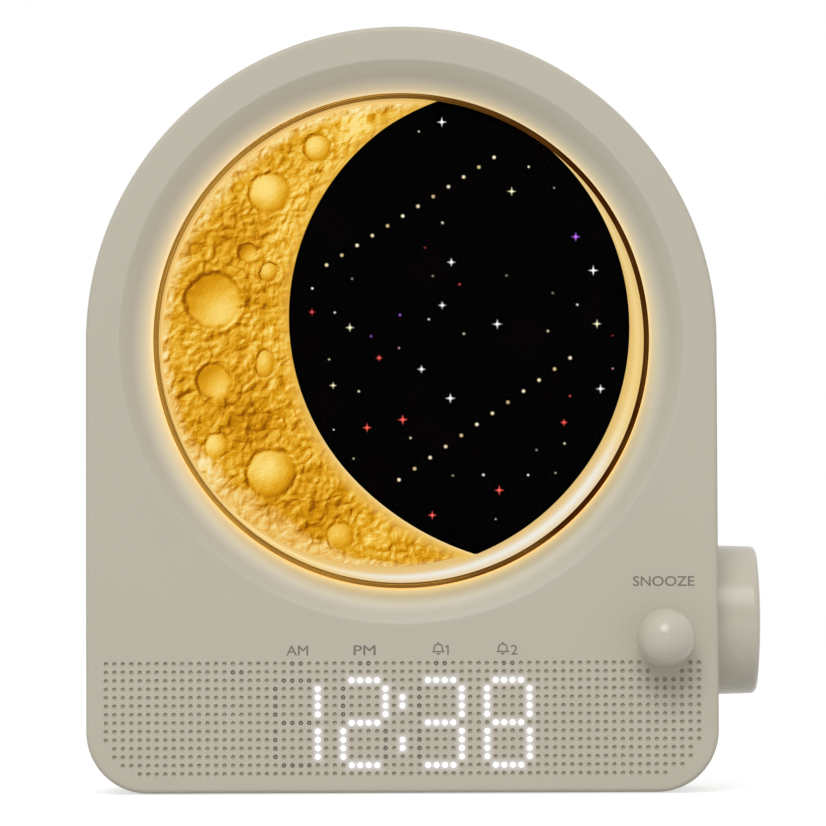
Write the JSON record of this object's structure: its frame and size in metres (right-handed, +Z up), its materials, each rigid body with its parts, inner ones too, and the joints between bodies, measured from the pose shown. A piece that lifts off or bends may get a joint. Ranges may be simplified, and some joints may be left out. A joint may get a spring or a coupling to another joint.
{
  "type": "moon phase desk clock",
  "caption": "Arch-shaped bedside clock with a lit crescent moon dial under a turning bezel, a dot display in a dimpled grille, a ball button and a side volume knob.",
  "frame": {"origin": "centre of the rubber base pad's underside, on the surface that the clock stands on", "axes": "+Z up, -Y towards the viewer along the moon dial's axis, +X to the right of the dial where the volume knob is"},
  "size_m": [0.1769, 0.0759, 0.2001],
  "materials": {
    "case_shell": "fine matt moulded ABS",
    "cap_plastic": "matt moulded ABS",
    "foot_rubber": "matt silicone rubber",
    "gold_plating": "polished gold plating",
    "window_clear": "clear polished acrylic",
    "shade_black": "black printed acrylic",
    "tray_gold": "gold lacquered reflector",
    "moon_diffuser": "textured translucent casting",
    "halo_milky": "milky acrylic",
    "circuit_board": "green solder mask",
    "lamp_lens": "phosphor lens",
    "digit_lens": "white diffuser",
    "smoke_sheet": "smoked diffuser sheet",
    "frame_black": "black moulded nylon",
    "screw_steel": "zinc plated steel",
    "stem_acetal": "white acetal",
    "switch_black": "black moulded nylon",
    "bright_metal": "nickel plating",
    "speaker_frame": "black coated pressed steel",
    "ferrite": "sintered ferrite",
    "cone_paper": "coated paper",
    "surround_rubber": "soft rubber",
    "gasket_foam": "closed cell foam",
    "chip_epoxy": "moulded epoxy",
    "can_sleeve": "sleeved aluminium can",
    "connector_white": "natural nylon",
    "lead_sleeve": "flexible PVC",
    "cell_steel": "stainless steel can"
  },
  "bodies": {
    "clock_case": {"front_case": "case_shell", "rear_case": "case_shell", "case_screws": "screw_steel", "base_pad": "foot_rubber", "moon_tray": "tray_gold", "moon_face": "moon_diffuser", "halo_diffuser": "halo_milky", "moon_lamp_board": "circuit_board", "moon_lamps": "lamp_lens", "halo_screws": "screw_steel", "lamp_board_screws": "screw_steel", "display_sheet": "smoke_sheet", "display_frame": "frame_black", "display_lamps": "digit_lens", "display_board": "circuit_board", "display_screws": "screw_steel", "snooze_switch": "switch_black", "snooze_board": "circuit_board", "snooze_screws": "screw_steel", "encoder_body": "switch_black", "encoder_washer": "bright_metal", "encoder_nut": "bright_metal", "encoder_board": "circuit_board", "speaker_basket": "speaker_frame", "speaker_magnet": "ferrite", "speaker_cone": "cone_paper", "speaker_surround": "surround_rubber", "speaker_gasket": "gasket_foam", "speaker_screws": "screw_steel", "main_board": "circuit_board", "main_chips": "chip_epoxy", "capacitors": "can_sleeve", "board_connectors": "connector_white", "main_board_screws": "screw_steel", "key_switches": "switch_black", "supply_socket": "bright_metal", "moon_ribbon": "lead_sleeve", "display_ribbon": "lead_sleeve", "speaker_lead": "lead_sleeve", "snooze_lead": "lead_sleeve", "volume_lead": "lead_sleeve", "cell_holder": "frame_black", "backup_cell": "cell_steel"},
    "phase_dial": {"moon_bezel": "gold_plating", "phase_window": "window_clear", "night_shade": "shade_black"},
    "snooze": {"snooze_ball": "cap_plastic", "snooze_stem": "stem_acetal", "snooze_clip": "bright_metal", "snooze_plunger": "switch_black"},
    "volume": {"volume_knob": "cap_plastic", "encoder_shaft": "bright_metal"},
    "cell_cover": {"battery_cover": "cap_plastic"},
    "key_1": {"rear_key_1": "cap_plastic"},
    "key_2": {"rear_key_2": "cap_plastic"},
    "key_3": {"rear_key_3": "cap_plastic"},
    "key_4": {"rear_key_4": "cap_plastic"},
    "key_5": {"rear_key_5": "cap_plastic"},
    "key_6": {"rear_key_6": "cap_plastic"}
  },
  "joints": [
    {"name": "phase_turn", "type": "hinge", "parent": "clock_case", "child": "phase_dial", "pos_m": [0, -0.029, 0.1179], "axis": [0, -1, 0], "continuous": true},
    {"name": "snooze_push", "type": "slide", "parent": "clock_case", "child": "snooze", "axis": [0, 1, 0], "range_m": [0, 0.0015], "stiffness_N_per_m": 600},
    {"name": "volume_turn", "type": "hinge", "parent": "clock_case", "child": "volume", "pos_m": [0.0822, 0, 0.0449], "axis": [1, 0, 0], "continuous": true},
    {"name": "cover_turn", "type": "hinge", "parent": "clock_case", "child": "cell_cover", "pos_m": [-0.036, 0.029, 0.0219], "axis": [0, 1, 0], "range_deg": [0, 90]},
    {"name": "key_1_push", "type": "slide", "parent": "clock_case", "child": "key_1", "axis": [0, -1, 0], "range_m": [0, 0.0008], "stiffness_N_per_m": 1500},
    {"name": "key_2_push", "type": "slide", "parent": "clock_case", "child": "key_2", "axis": [0, -1, 0], "range_m": [0, 0.0008], "stiffness_N_per_m": 1500},
    {"name": "key_3_push", "type": "slide", "parent": "clock_case", "child": "key_3", "axis": [0, -1, 0], "range_m": [0, 0.0008], "stiffness_N_per_m": 1500},
    {"name": "key_4_push", "type": "slide", "parent": "clock_case", "child": "key_4", "axis": [0, -1, 0], "range_m": [0, 0.0008], "stiffness_N_per_m": 1500},
    {"name": "key_5_push", "type": "slide", "parent": "clock_case", "child": "key_5", "axis": [0, -1, 0], "range_m": [0, 0.0008], "stiffness_N_per_m": 1500},
    {"name": "key_6_push", "type": "slide", "parent": "clock_case", "child": "key_6", "axis": [0, -1, 0], "range_m": [0, 0.0008], "stiffness_N_per_m": 1500}
  ]
}
